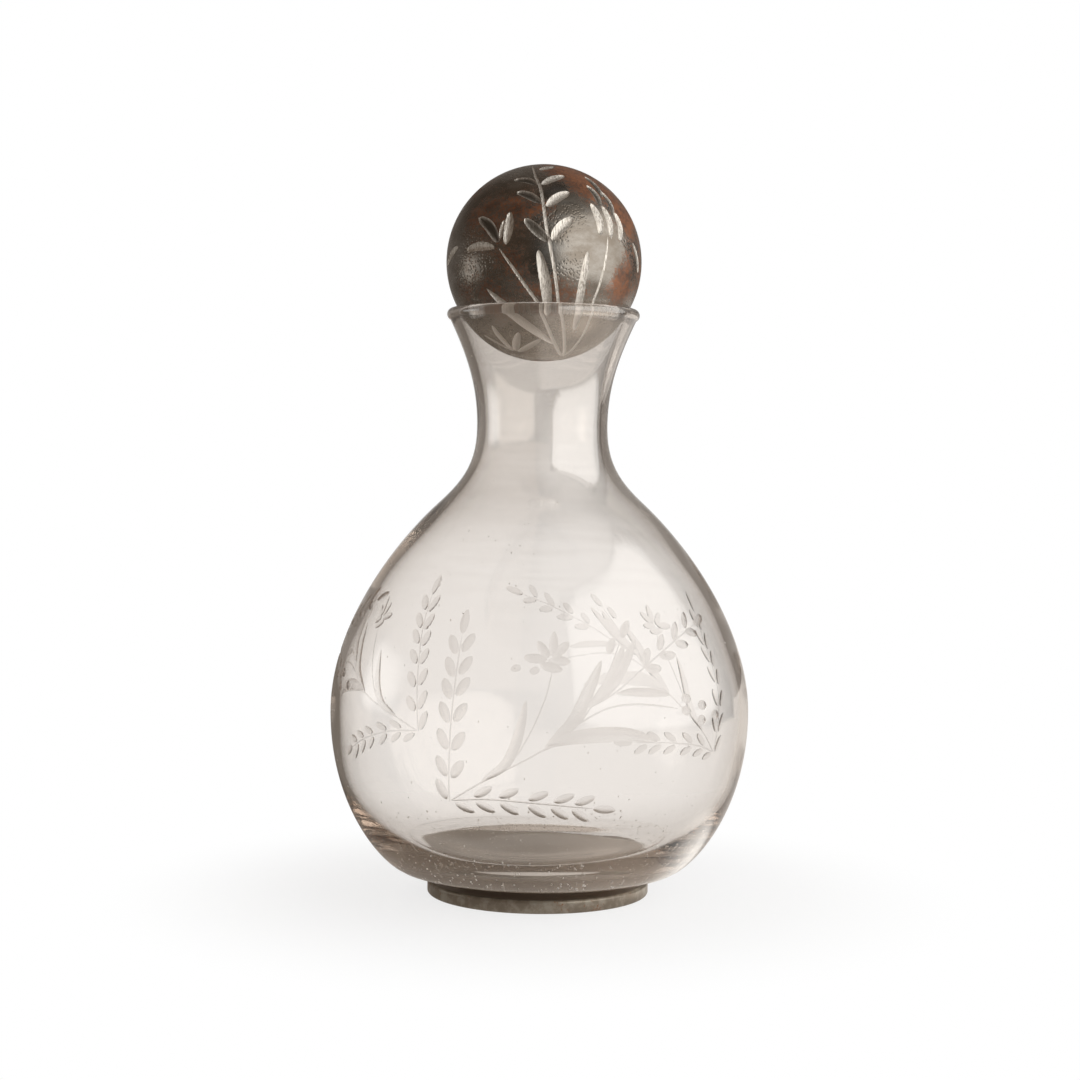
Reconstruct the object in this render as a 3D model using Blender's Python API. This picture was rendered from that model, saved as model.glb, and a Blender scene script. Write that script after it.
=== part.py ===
# Decanter: a mouth-blown pear-shaped bottle on a low disc foot, closed by a
# hollow blown glass ball that rests loose on the rolled lip. Metres, +Z up.
# The origin is the middle of the foot's underside, on the turning axis.

import math

import bpy
import bmesh
from mathutils import Vector

for leftover in list(bpy.data.objects):
    bpy.data.objects.remove(leftover, do_unlink=True)


# Driving dimensions in metres, each one set by itself

# Foot: a pressed disc with a rounded edge, a shallow moat inside its rim, and
# a raised pad in the middle that carries the bottle
foot_radius = 0.0397
foot_height = 0.0047
foot_edge_round = 0.0009
foot_rim_width = 0.0021
foot_moat_width = 0.0060
foot_moat_depth = 0.0011
foot_pad_radius = 0.0220
foot_pad_rise = 0.0012
foot_hollow_radius = 0.0290
foot_hollow_depth = 0.0010

# Bottle: radii of its outer face, and heights above its own flat base; the
# mouth's depth is from the waist of the neck up to the lip
heel_radius = 0.0512
heel_height = 0.0038
belly_radius = 0.0750
belly_height = 0.0595
shoulder_radius = 0.0368
shoulder_height = 0.1338
neck_radius = 0.0235
neck_height = 0.1614
mouth_depth = 0.0423

# Glass thickness: heavy in the base and fullest round the heel, thin in the
# belly, a little thicker at the mouth, whose roll stands proud of both faces
base_glass = 0.0060
base_build_up = 0.0360
heel_fill = 0.0027
heel_fill_radius = 0.0455
heel_fill_width = 0.0150
wall_glass = 0.0030
lip_glass = 0.0034
lip_build_up = 0.0180
lip_swell = 0.0005

# Ball stopper: a blown shell, with the blow hole closed by a tapered button
ball_radius = 0.0352
ball_glass = 0.0030
blow_hole_radius = 0.0048
button_length = 0.0042

# Clearances between separate pieces
seat_gap = 0.0003
button_gap = 0.0003

# Where the ball bears on the lip, in degrees off the axis at the ball's centre
seat_angle = 59.7
# Slopes of the bottle's outer face, in degrees above the level
base_slope = 4.0
heel_slope = 27.5
shoulder_slope = 42.6
lip_slope = 64.5
# Draw of the blow hole's side, in degrees off the axis
button_taper = 12.0

# Reach of each curve's handles, as shares of the rise or run of that curve
base_reach_share = 0.22
heel_reach_in_share = 0.18
heel_reach_out_share = 0.15
belly_reach_below_share = 0.58
belly_reach_above_share = 0.387
shoulder_reach_below_share = 0.318
shoulder_reach_above_share = 0.43
neck_reach_below_share = 0.47
neck_reach_above_share = 0.356
lip_reach_share = 0.40
# Where the foot's pad slope starts, and how full its moat is, as shares
pad_slope_share = 0.35
moat_side_share = 0.30

# Facets: steps round the axis, and steps along each stretch of an outline
around = 48
base_steps = 5
heel_steps = 9
belly_steps = 10
shoulder_steps = 5
mouth_steps = 8
roll_steps = 7
ball_steps = 10
ball_inner_steps = 7
edge_steps = 4
moat_steps = 5
hollow_steps = 4
button_steps = 3
smooth_edge_angle = 32.0
weld_distance = 0.000001

# Where the pieces stand, and the mouth that the ball rests in, worked out from
# the sizes above
bottle_seat = foot_height + foot_pad_rise + seat_gap
lip_roll = lip_glass / 2 + lip_swell
touch_distance = ball_radius + lip_roll + seat_gap
roll_centre = Vector((touch_distance * math.sin(math.radians(seat_angle)),
                      neck_height + mouth_depth - lip_roll))
ball_rise = touch_distance * math.cos(math.radians(seat_angle))
ball_height = bottle_seat + roll_centre.y + ball_rise


# Shape helpers

def heading(slope):
    """Unit direction in the turning plane, slope degrees above the level."""
    angle = math.radians(slope)
    return Vector((math.cos(angle), math.sin(angle)))


def curve(start, start_handle, end_handle, end, steps):
    """Points of a cubic curve, its start left out so that stretches join."""
    points = []
    for step in range(1, steps + 1):
        t = step / steps
        s = 1 - t
        points.append(s ** 3 * start + 3 * s * s * t * start_handle
                      + 3 * s * t * t * end_handle + t ** 3 * end)
    return points


def arc(centre, radius, start_angle, end_angle, steps):
    """Points of a circular arc, both ends included, angles in degrees."""
    points = []
    for step in range(steps + 1):
        angle = start_angle + (end_angle - start_angle) * step / steps
        points.append(centre + radius * heading(angle))
    return points


def turned(name, outline, material, height=0.0, parent=None):
    """One solid: an outline from axis to axis, spun once round the axis."""
    mesh = bpy.data.meshes.new(name)
    shape = bmesh.new()
    points = [shape.verts.new((point.x, 0, point.y)) for point in outline]
    edges = [shape.edges.new(pair) for pair in zip(points, points[1:])]
    bmesh.ops.spin(shape, geom=points + edges, cent=(0, 0, 0), axis=(0, 0, 1),
                   angle=math.tau, steps=around, use_duplicate=False)
    bmesh.ops.remove_doubles(shape, verts=shape.verts, dist=weld_distance)
    bmesh.ops.recalc_face_normals(shape, faces=shape.faces)
    shape.to_mesh(mesh)
    shape.free()
    mesh.shade_smooth()
    mesh.set_sharp_from_angle(angle=math.radians(smooth_edge_angle))
    mesh.materials.append(material)
    piece = bpy.data.objects.new(name, mesh)
    bpy.context.scene.collection.objects.link(piece)
    piece.location = (0, 0, height)
    piece.parent = parent
    return piece


def finish(name, colour, roughness, metallic, transmission):
    """A plain Principled material."""
    material = bpy.data.materials.new(name)
    material.use_nodes = True
    shader = material.node_tree.nodes["Principled BSDF"]
    shader.inputs["Base Color"].default_value = (*colour, 1)
    shader.inputs["Roughness"].default_value = roughness
    shader.inputs["Metallic"].default_value = metallic
    shader.inputs["Transmission Weight"].default_value = transmission
    return material


def marker(name, height, parent=None):
    """An empty on the axis that carries the pieces of one moving group."""
    empty = bpy.data.objects.new(name, None)
    bpy.context.scene.collection.objects.link(empty)
    empty.location = (0, 0, height)
    empty.parent = parent
    return empty


# Foot: the outline runs from the hollow under it, out round its edge, over the
# rim, through the moat and up on to the pad

def foot_outline():
    edge = foot_edge_round
    rim_round = foot_rim_width / 2
    wall = foot_radius - edge
    hollow = curve(Vector((0, foot_hollow_depth)),
                   Vector((foot_hollow_radius / 2, foot_hollow_depth)),
                   Vector((foot_hollow_radius - edge, foot_hollow_depth / 2)),
                   Vector((foot_hollow_radius, 0)), hollow_steps)
    lower_edge = arc(Vector((wall, edge)), edge, -90, 0, edge_steps)
    rim_top = foot_height - rim_round
    rim = arc(Vector((foot_radius - rim_round, rim_top)), rim_round, 0, 180, 2 * edge_steps)
    rim_inside = Vector((foot_radius - foot_rim_width, rim_top))
    floor = foot_height - foot_moat_depth
    moat_inside = Vector((rim_inside.x - foot_moat_width, floor))
    pad_edge = Vector((foot_pad_radius, foot_height + foot_pad_rise))
    side = moat_side_share * foot_moat_width
    moat = curve(rim_inside, Vector((rim_inside.x, floor)),
                 moat_inside + Vector((side, 0)), moat_inside, moat_steps)
    run = moat_inside.x - pad_edge.x
    slope = curve(moat_inside, moat_inside - Vector((pad_slope_share * run, 0)),
                  pad_edge + Vector((pad_slope_share * run, 0)), pad_edge, moat_steps)
    crown = Vector((0, pad_edge.y))
    return ([Vector((0, foot_hollow_depth))] + hollow + lower_edge + rim
            + moat + slope + [crown])


# Bottle: the outer face is five cubic curves that share their slopes where
# they meet, and the inner face follows it at the thickness of the glass

def outer_face():
    base_edge = Vector((foot_pad_radius, 0))
    heel = Vector((heel_radius, heel_height))
    belly = Vector((belly_radius, belly_height))
    shoulder = Vector((shoulder_radius, shoulder_height))
    neck = Vector((neck_radius, neck_height))
    up_flare = heading(lip_slope)
    out_flare = heading(lip_slope - 90)
    half_lip = lip_glass / 2
    sink = math.sqrt(lip_roll ** 2 - half_lip ** 2)
    lip = roll_centre - up_flare * sink + out_flare * half_lip

    up = Vector((0, 1))
    along_shoulder = heading(180 - shoulder_slope)
    base_run = heel.x - base_edge.x
    heel_rise = belly.y - heel.y
    belly_rise = shoulder.y - belly.y
    shoulder_rise = neck.y - shoulder.y
    mouth_rise = lip.y - neck.y
    face = [Vector((0, 0)), Vector((foot_pad_radius / 2, 0)), base_edge]
    face += curve(base_edge,
                  base_edge + heading(base_slope) * base_reach_share * base_run,
                  heel - heading(heel_slope) * heel_reach_in_share * base_run,
                  heel, base_steps)
    face += curve(heel,
                  heel + heading(heel_slope) * heel_reach_out_share * heel_rise,
                  belly - up * belly_reach_below_share * heel_rise,
                  belly, heel_steps)
    face += curve(belly,
                  belly + up * belly_reach_above_share * belly_rise,
                  shoulder - along_shoulder * shoulder_reach_below_share * belly_rise,
                  shoulder, belly_steps)
    face += curve(shoulder,
                  shoulder + along_shoulder * shoulder_reach_above_share * shoulder_rise,
                  neck - up * neck_reach_below_share * shoulder_rise,
                  neck, shoulder_steps)
    face += curve(neck,
                  neck + up * neck_reach_above_share * mouth_rise,
                  lip - up_flare * lip_reach_share * mouth_rise,
                  lip, mouth_steps)
    return face


def glass_at(point):
    """Thickness of the bottle's glass behind a point of its outer face."""
    near_base = max(0, 1 - point.y / base_build_up)
    near_heel = math.exp(-((point.x - heel_fill_radius) / heel_fill_width) ** 2)
    near_lip = max(0, 1 - (roll_centre.y - point.y) / lip_build_up)
    thick_base = (base_glass - wall_glass) * near_base ** 2
    thick_heel = heel_fill * near_base * near_heel
    thick_lip = (lip_glass - wall_glass) * min(1, near_lip)
    return wall_glass + thick_base + thick_heel + thick_lip


def inner_face(face):
    """The outer face moved inwards, square to itself, from lip to base."""
    inside = []
    last = len(face) - 1
    for index in range(last, 0, -1):
        before = face[index - 1]
        after = face[min(index + 1, last)]
        run = (after - before).normalized()
        inwards = Vector((-run.y, run.x))
        inside.append(face[index] + inwards * glass_at(face[index]))
    inside.append(Vector((0, glass_at(face[0]))))
    return inside


def bottle_outline():
    outside = outer_face()
    inside = inner_face(outside)
    first = outside[-1] - roll_centre
    final = inside[0] - roll_centre
    start = math.degrees(math.atan2(first.y, first.x))
    end = math.degrees(math.atan2(final.y, final.x)) % 360
    roll = arc(roll_centre, lip_roll, start, end, roll_steps)
    return outside + roll[1:-1] + inside


# Ball: a shell left open at its lowest point, where the blowing iron came
# off, and the tapered button of glass that closes it

def hole_radius_at(depth, clearance):
    """Radius of the button's side at a depth below the ball's centre."""
    face_depth = math.sqrt(ball_radius ** 2 - blow_hole_radius ** 2)
    taper = math.tan(math.radians(button_taper))
    return blow_hole_radius - clearance - (face_depth - depth) * taper


def ball_outline():
    inner_radius = ball_radius - ball_glass
    centre = Vector((0, 0))
    inner_depth = math.sqrt(inner_radius ** 2 - blow_hole_radius ** 2)
    inner_hole = hole_radius_at(inner_depth, 0)
    inner_start = -math.degrees(math.acos(inner_hole / inner_radius))
    outer_start = -math.degrees(math.acos(blow_hole_radius / ball_radius))
    inside = arc(centre, inner_radius, 90, 0, ball_inner_steps)
    inside += arc(centre, inner_radius, 0, inner_start, ball_inner_steps)[1:]
    outside = arc(centre, ball_radius, outer_start, 0, ball_steps)
    outside += arc(centre, ball_radius, 0, 90, ball_steps)[1:]
    inside[0] = Vector((0, inner_radius))
    outside[-1] = Vector((0, ball_radius))
    return inside + outside


def button_outline():
    face_radius = blow_hole_radius - button_gap
    face_start = -math.degrees(math.acos(face_radius / ball_radius))
    face = arc(Vector((0, 0)), ball_radius, -90, face_start, button_steps)
    face[0] = Vector((0, -ball_radius))
    top_depth = ball_radius - button_length
    top_edge = Vector((hole_radius_at(top_depth, button_gap), -top_depth))
    return face + [top_edge, Vector((0, -top_depth))]


smoked_glass = finish("smoked_glass", (0.80, 0.76, 0.70), 0.02, 0, 1)
bronze_lustre = finish("bronze_lustre", (0.23, 0.16, 0.11), 0.30, 0.85, 0)
foot_lustre = finish("foot_lustre", (0.30, 0.23, 0.17), 0.34, 0.85, 0)
button_glass = finish("button_glass", (0.30, 0.22, 0.16), 0.20, 0.50, 0)

decanter = marker("decanter", 0)
stopper = marker("stopper", ball_height, decanter)

turned("foot", foot_outline(), foot_lustre, 0, decanter)
turned("vessel", bottle_outline(), smoked_glass, bottle_seat, decanter)
turned("ball_stopper", ball_outline(), bronze_lustre, 0, stopper)
turned("stopper_button", button_outline(), button_glass, 0, stopper)
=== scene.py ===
# Decanter: a mouth-blown bottle of smoked glass with a sprig cut into its belly,
# standing on a lustred glass foot and closed by a cut and lustred glass ball.
# The sections follow the pieces as they are put together. Metres, +Z up.

import math

import bpy
import numpy as np
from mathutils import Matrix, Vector
from mathutils.geometry import delaunay_2d_cdt


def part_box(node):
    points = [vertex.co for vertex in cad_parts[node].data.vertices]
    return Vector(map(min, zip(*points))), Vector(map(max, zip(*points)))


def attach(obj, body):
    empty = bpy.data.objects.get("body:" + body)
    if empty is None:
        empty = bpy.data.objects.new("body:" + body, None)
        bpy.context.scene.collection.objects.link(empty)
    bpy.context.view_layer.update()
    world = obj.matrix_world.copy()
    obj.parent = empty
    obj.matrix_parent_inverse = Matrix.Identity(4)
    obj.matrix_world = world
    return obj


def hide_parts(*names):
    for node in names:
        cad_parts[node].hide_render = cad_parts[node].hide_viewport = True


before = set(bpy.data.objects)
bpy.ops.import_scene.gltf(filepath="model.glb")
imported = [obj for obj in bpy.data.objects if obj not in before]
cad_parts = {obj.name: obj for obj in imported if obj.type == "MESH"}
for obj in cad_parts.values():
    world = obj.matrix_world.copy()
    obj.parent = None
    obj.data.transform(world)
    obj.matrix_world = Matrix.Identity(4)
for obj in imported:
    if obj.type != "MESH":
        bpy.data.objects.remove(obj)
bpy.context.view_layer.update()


# Foot
# A low disc of pressed glass, fired with a dark bronze lustre that shows copper
# in places. The bottle stands on the raised pad in its middle.

foot_radius = 0.0397
foot_height = 0.0047
foot_edge_round = 0.0009
foot_rim_width = 0.0021
foot_moat_width = 0.0060
foot_moat_depth = 0.0011
foot_pad_radius = 0.0220
foot_pad_rise = 0.0012
foot_hollow_radius = 0.0290
foot_hollow_depth = 0.0010
foot_columns = 256
lustre_brown = (0.22, 0.187, 0.15, 1)
lustre_silver = (0.34, 0.31, 0.26, 1)
lustre_copper = (0.24, 0.135, 0.085, 1)
# Pale copper inside the rim is painted light that lifts the shade under the bottle
moat_glint_copper = (0.33, 0.265, 0.215, 1)
moat_glint_rim = (0.0389, 0.0379)


def cubic(start, start_handle, end_handle, end, steps):
    """Points of a cubic curve: s^3 a + 3 s^2 t b + 3 s t^2 c + t^3 d with
    s = 1 - t, for t from 0 to 1."""
    t = np.linspace(0, 1, steps + 1)[:, None]
    s = 1 - t
    a, b, c, d = (np.asarray(point, float) for point in (start, start_handle, end_handle, end))
    return s ** 3 * a + 3 * s * s * t * b + 3 * s * t * t * c + t ** 3 * d


def heading(angle):
    """Unit directions (cos a, sin a), a in degrees."""
    angle = np.radians(angle)
    return np.stack([np.cos(angle), np.sin(angle)], -1)


def arc(centre, radius, first, last, steps):
    """Points of a circular arc, from one angle to another in degrees."""
    return np.asarray(centre, float) + radius * heading(np.linspace(first, last, steps + 1))


def swung(face, turn):
    """Points or directions (r, z) at a turn a round the axis: (r sin a, -r cos a, z)."""
    radius, height = face[..., 0], face[..., 1]
    return np.stack(np.broadcast_arrays(
        radius * np.sin(turn), -radius * np.cos(turn), height), -1)


def round_axis(outline, turns):
    """A grid of points: each point of the outline gives a row, at all turns."""
    return swung(outline[:, None], turns)


def patch(grid):
    """A grid that closes on itself sideways, and its faces: row i and column j
    make the corners (i, j), (i, j + 1), (i + 1, j + 1), (i + 1, j)."""
    rows, columns = grid.shape[:2]
    row = np.arange(rows - 1)[:, None] * columns
    here = np.arange(columns)[None, :]
    beside = (here + 1) % columns
    corners = [row + here, row + beside, row + columns + beside, row + columns + here]
    return grid, np.stack([corner.ravel() for corner in corners], 1)


def welded(patches):
    """One set of points and faces from several: points that agree to a tenth of
    a micrometre become one, and a quad pinched at a pole becomes a triangle."""
    points = np.concatenate([grid.reshape(-1, 3) for grid, _ in patches])
    starts = np.cumsum([0] + [grid.size // 3 for grid, _ in patches])
    keys = np.round(points, 7) + 0.0
    _, first, owner = np.unique(keys, axis=0, return_index=True, return_inverse=True)
    owner = owner.ravel()
    quads = [np.empty((0, 4), int)]
    triangles = [np.empty((0, 3), int)]
    for (_, faces), start in zip(patches, starts):
        corners = owner[faces + start]
        if corners.shape[1] == 3:
            triangles.append(corners)
            continue
        low = corners[:, 0] == corners[:, 1]
        high = corners[:, 2] == corners[:, 3]
        triangles += [corners[low][:, [0, 2, 3]], corners[high][:, :3]]
        quads.append(corners[~low & ~high])
    return points[first], np.concatenate(quads), np.concatenate(triangles)


def turned(outline, columns):
    """Points, quads and triangles of an outline carried once round the axis."""
    return welded([patch(round_axis(outline, np.arange(columns) * math.tau / columns))])


def face_normals(points, faces):
    """Normals as long as twice each face's area: the cross product of a quad's
    diagonals or of a triangle's first two sides."""
    corner = points[faces]
    if faces.shape[1] == 3:
        return np.cross(corner[:, 1] - corner[:, 0], corner[:, 2] - corner[:, 0])
    return np.cross(corner[:, 2] - corner[:, 0], corner[:, 3] - corner[:, 1])


def corner_list(quads, triangles):
    """The point at every face's every corner, and how many corners a face has."""
    return (np.concatenate([quads.ravel(), triangles.ravel()]).astype(np.int32),
            np.concatenate([np.full(len(quads), 4), np.full(len(triangles), 3)]))


def mesh_piece(name, points, quads, triangles, material):
    """An object made from arrays of points, quads and triangles, shaded smooth."""
    corners, sizes = corner_list(quads, triangles)
    starts = np.concatenate([[0], np.cumsum(sizes)[:-1]]).astype(np.int32)
    mesh = bpy.data.meshes.new(name)
    mesh.vertices.add(len(points))
    mesh.vertices.foreach_set("co", points.astype(np.float32).ravel())
    mesh.loops.add(len(corners))
    mesh.loops.foreach_set("vertex_index", corners)
    mesh.polygons.add(len(sizes))
    mesh.polygons.foreach_set("loop_start", starts)
    mesh.update(calc_edges=True)
    mesh.shade_smooth()
    mesh.materials.append(material)
    piece = bpy.data.objects.new(name, mesh)
    bpy.context.scene.collection.objects.link(piece)
    return piece


def foot_outline():
    """Half section of the foot from the hollow under it, out round its edge,
    over the rim, through the moat and up on to the pad."""
    edge = foot_edge_round
    rim_round = foot_rim_width / 2
    rim_top = foot_height - rim_round
    floor = foot_height - foot_moat_depth
    rim_inside = foot_radius - foot_rim_width
    moat_inside = rim_inside - foot_moat_width
    pad_height = foot_height + foot_pad_rise
    run = moat_inside - foot_pad_radius
    hollow = cubic((0, foot_hollow_depth), (foot_hollow_radius / 2, foot_hollow_depth),
                   (foot_hollow_radius - edge, foot_hollow_depth / 2), (foot_hollow_radius, 0), 12)
    lower_edge = arc((foot_radius - edge, edge), edge, -90, 0, 8)
    rim = arc((foot_radius - rim_round, rim_top), rim_round, 0, 180, 20)
    moat = cubic((rim_inside, rim_top), (rim_inside, floor),
                 (moat_inside + 0.3 * foot_moat_width, floor), (moat_inside, floor), 12)
    slope = cubic((moat_inside, floor), (moat_inside - 0.35 * run, floor),
                  (foot_pad_radius + 0.35 * run, pad_height), (foot_pad_radius, pad_height), 12)
    crown = cubic((foot_pad_radius, pad_height), (foot_pad_radius / 2, pad_height),
                  (foot_pad_radius / 4, pad_height), (0, pad_height), 8)
    return np.vstack([hollow, lower_edge, rim, moat[1:], slope[1:], crown[1:]])


class Wire:
    """A value on its way through a material's nodes. Arithmetic on it adds Math
    nodes, and node() adds any other kind."""

    def __init__(self, tree, socket=None):
        self.tree = tree
        self.socket = socket

    def node(self, kind, settings=None, inputs=None, output=0):
        """A new node: its settings first, then its sockets' values or links."""
        made = self.tree.nodes.new("ShaderNode" + kind)
        for name, value in (settings or {}).items():
            setattr(made, name, value)
        for name, value in (inputs or {}).items():
            if isinstance(value, Wire):
                self.tree.links.new(value.socket, made.inputs[name])
            else:
                made.inputs[name].default_value = value
        return Wire(self.tree, made.outputs[output] if made.outputs else None)

    def maths(self, operation, first, second):
        return self.node("Math", {"operation": operation}, {0: first, 1: second})

    def __add__(self, other):
        return self.maths("ADD", self, other)

    __radd__ = __add__

    def __mul__(self, other):
        return self.maths("MULTIPLY", self, other)

    __rmul__ = __mul__

    def __sub__(self, other):
        return self.maths("SUBTRACT", self, other)

    def __rsub__(self, other):
        return self.maths("SUBTRACT", other, self)

    def step(self, low, high):
        """Zero up to low, one from high, and a smooth rise between them."""
        return self.node("MapRange", {"interpolation_type": "SMOOTHSTEP"},
                         {"Value": self, "From Min": low, "From Max": high})

    def blend(self, first, second):
        """The colour first where this is 0 and second where it is 1."""
        return self.node("Mix", {"data_type": "RGBA"}, {0: self, 6: first, 7: second}, 2)

    def part(self, axis):
        """One of a vector's three numbers: X, Y or Z."""
        return self.node("SeparateXYZ", {}, {"Vector": self}, axis)

    def vector(self, operation, other=(0, 0, 0), output="Vector"):
        """Vector Math on this vector and another one. A length or a distance
        comes out as a Value."""
        return self.node("VectorMath", {"operation": operation}, {0: self, 1: other}, output)

    def noise(self, where, scale, detail=2.0, rough=0.5):
        """Smooth random values between 0 and 1, with scale features a metre."""
        return self.node("TexNoise", {}, {"Vector": where, "Scale": scale, "Detail": detail,
                                          "Roughness": rough})

    def in_oval(self, middle, turn, size):
        """How far this place is from the middle of a turned oval, where the
        oval's edge is 1."""
        settled = self.node("Mapping", {"vector_type": "TEXTURE"}, {
            "Vector": self, "Location": middle, "Rotation": (0, 0, turn), "Scale": size})
        return settled.vector("LENGTH", output="Value")

    def noted(self, name):
        """A number that the mesh carries under this name."""
        return self.node("Attribute", {"attribute_name": name}, output="Fac")

    def bump(self, strength, distance):
        """The surface's normal where this is the height of a fine relief."""
        return self.node("Bump", {}, {"Strength": strength, "Distance": distance, "Height": self})

    def finish(self, surface):
        """The surface goes to the material's output."""
        self.node("OutputMaterial", {}, {"Surface": surface})


def new_material(name):
    """A material with no nodes, and the wire that builds it."""
    material = bpy.data.materials.new(name)
    material.use_nodes = True
    material.node_tree.nodes.clear()
    return material, Wire(material.node_tree)


def foot_lustre():
    """Bronze with silver clouds and specks of copper, with pale copper painted
    inside the rim: painted light that lifts the shade under the bottle."""
    material, wire = new_material("foot_lustre")
    place = wire.node("TexCoord", output="Object")
    cloud = wire.noise(place, 60, 4)
    speck = wire.noise(place, 900, 3)
    copper = (cloud + 0.55 * speck).step(0.86, 0.98)
    silver = wire.noise(place, 260, 5, 0.65).step(0.38, 0.66)
    ground = silver.blend(lustre_brown, lustre_silver)
    colour = copper.blend(ground, lustre_copper)
    from_axis = place.vector("MULTIPLY", (1, 1, 0)).vector("LENGTH", output="Value")
    # Pale copper inside the rim: painted light over the shade under the bottle
    colour = from_axis.step(*moat_glint_rim).blend(colour, moat_glint_copper)
    wire.finish(wire.node("BsdfPrincipled", {}, {
        "Base Color": colour, "Metallic": 0.85, "Roughness": 0.28 + 0.18 * cloud,
        "Normal": speck.bump(0.25, 0.0002)}))
    return material


foot_piece = mesh_piece("pressed_foot", *turned(foot_outline(), foot_columns), foot_lustre())
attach(foot_piece, "bottle")
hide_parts("foot")


# Bottle
# One gather of smoked soda glass, blown to a pear shape and drawn in to a waist
# under a flared mouth with a fire-rolled lip. A sprig with a flower is cut into
# its belly three times over with a small stone wheel, and left satin.

heel_radius, heel_height = 0.0512, 0.0038
belly_radius, belly_height = 0.0750, 0.0595
shoulder_radius, shoulder_height = 0.0368, 0.1338
neck_radius, neck_height = 0.0235, 0.1614
mouth_depth = 0.0423
base_glass, wall_glass, lip_glass = 0.0060, 0.0030, 0.0034
base_build_up, lip_build_up, lip_swell = 0.0360, 0.0180, 0.0005
heel_fill, heel_fill_radius, heel_fill_width = 0.0027, 0.0455, 0.0150
lip_roll = lip_glass / 2 + lip_swell
base_slope, heel_slope, shoulder_slope, lip_slope = 4.0, 27.5, 42.6, 64.5
base_reach, heel_reach_in, heel_reach_out = 0.22, 0.18, 0.15
belly_reach_below, belly_reach_above = 0.58, 0.387
shoulder_reach_below, shoulder_reach_above = 0.318, 0.43
neck_reach_below, neck_reach_above, lip_reach = 0.47, 0.356, 0.40
ball_radius, seat_gap, seat_angle = 0.0352, 0.0003, 59.7
bottle_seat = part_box("vessel")[0].z
bottle_columns, row_pitch = 192, 0.0024
band_low, band_high = 0.0800, 0.1656
seam_turn = math.radians(-155)
wave_height, base_wave_height = 0.00012, 0.00022
smoke = (0.87, 0.822, 0.780, 1)
smoke_density = 35.0
tone_heights, upper_tone = (0.112, 0.190), (0.86, 0.83, 0.80, 1)
body_tone = (0.965, 0.945, 0.925, 1)
cut_tone = (0.76, 0.725, 0.695, 1)
shadow_tone = (0.93, 0.92, 0.91, 1)
polished_heights = (0.118, 0.146)

# Where the foot is fused on, the lustre shows as a satin patch under the base:
# an uneven oval, with its middle, turn and half widths, and its tone to each
# side: painted shade to the left and painted light to the right
join_height = 0.0045
join_middle, join_turn, join_size = (-0.003, -0.008, 0.0), math.radians(-40), (0.0425, 0.0385, 1)
join_wander = 0.30
join_shaded_left, join_lit_right = (0.62, 0.585, 0.54, 1), (0.95, 0.91, 0.86, 1)

# The sprig is laid out in millimetres on the belly, from the root where its
# stems meet: across to the right, and up along the glass. The wheel leaves a
# leaf-shaped hollow, and its edge a hair line. Points of the plain glass keep a
# gap to the rim of a cut. A root is a turn in degrees and a length along the glass.
millimetre = 0.001
roots = ((-24.0, 90.7), (110.8, 94.7), (-139.5, 98.2))
leaf_width, leaf_length = 3.7, 7.7
stem_width = 0.62
line_pitch, rim_pitch, plain_gap, cut_margin = 0.12, 0.75, 0.45, 0.5


def along_line(points):
    """Lengths along a line from its start to each of its points."""
    return np.concatenate([[0], np.cumsum(np.linalg.norm(np.diff(points, axis=0), axis=1))])


def unit_vectors(vectors):
    """Each vector over its length."""
    return vectors / np.linalg.norm(vectors, axis=-1, keepdims=True)


def outer_face(steps):
    """The bottle's outer side from the axis to the lip's roll: a flat base, then
    five cubic curves that share their slopes where they meet. The handles reach
    a share of each curve's run or rise."""
    base_edge = np.array([foot_pad_radius, 0])
    heel = np.array([heel_radius, heel_height])
    belly = np.array([belly_radius, belly_height])
    shoulder = np.array([shoulder_radius, shoulder_height])
    neck = np.array([neck_radius, neck_height])
    lip = (roll_centre - heading(lip_slope) * math.sqrt(lip_roll ** 2 - lip_glass ** 2 / 4)
           + heading(lip_slope - 90) * lip_glass / 2)
    up = np.array([0, 1])
    along_shoulder = heading(180 - shoulder_slope)
    run, rise = heel[0] - base_edge[0], np.diff([heel[1], belly[1], shoulder[1], neck[1], lip[1]])
    spans = [
        cubic(base_edge, base_edge + heading(base_slope) * base_reach * run,
              heel - heading(heel_slope) * heel_reach_in * run, heel, steps),
        cubic(heel, heel + heading(heel_slope) * heel_reach_out * rise[0],
              belly - up * belly_reach_below * rise[0], belly, steps),
        cubic(belly, belly + up * belly_reach_above * rise[1],
              shoulder - along_shoulder * shoulder_reach_below * rise[1], shoulder, steps),
        cubic(shoulder, shoulder + along_shoulder * shoulder_reach_above * rise[2],
              neck - up * neck_reach_below * rise[2], neck, steps),
        cubic(neck, neck + up * neck_reach_above * rise[3],
              lip - heading(lip_slope) * lip_reach * rise[3], lip, steps)]
    flat = np.linspace((0, 0), base_edge, steps + 1)
    return np.vstack([flat] + [span[1:] for span in spans])


touch_distance = ball_radius + lip_roll + seat_gap
roll_centre = np.array([touch_distance * math.sin(math.radians(seat_angle)),
                        neck_height + mouth_depth - lip_roll])
outer_fine = outer_face(240)
outer_along = along_line(outer_fine)
outer_slope = np.gradient(outer_fine, outer_along, axis=0)
outer_length = outer_along[-1]


def outer_at(along):
    """Outer radius and height, and the outward normal, at lengths along the
    outer side from the axis."""
    read = [np.interp(along, outer_along, column)
            for column in (*outer_fine.T, outer_slope[:, 1], -outer_slope[:, 0])]
    size = np.hypot(read[2], read[3])
    return np.stack(read[:2], -1), np.stack([read[2] / size, read[3] / size], -1)


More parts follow.
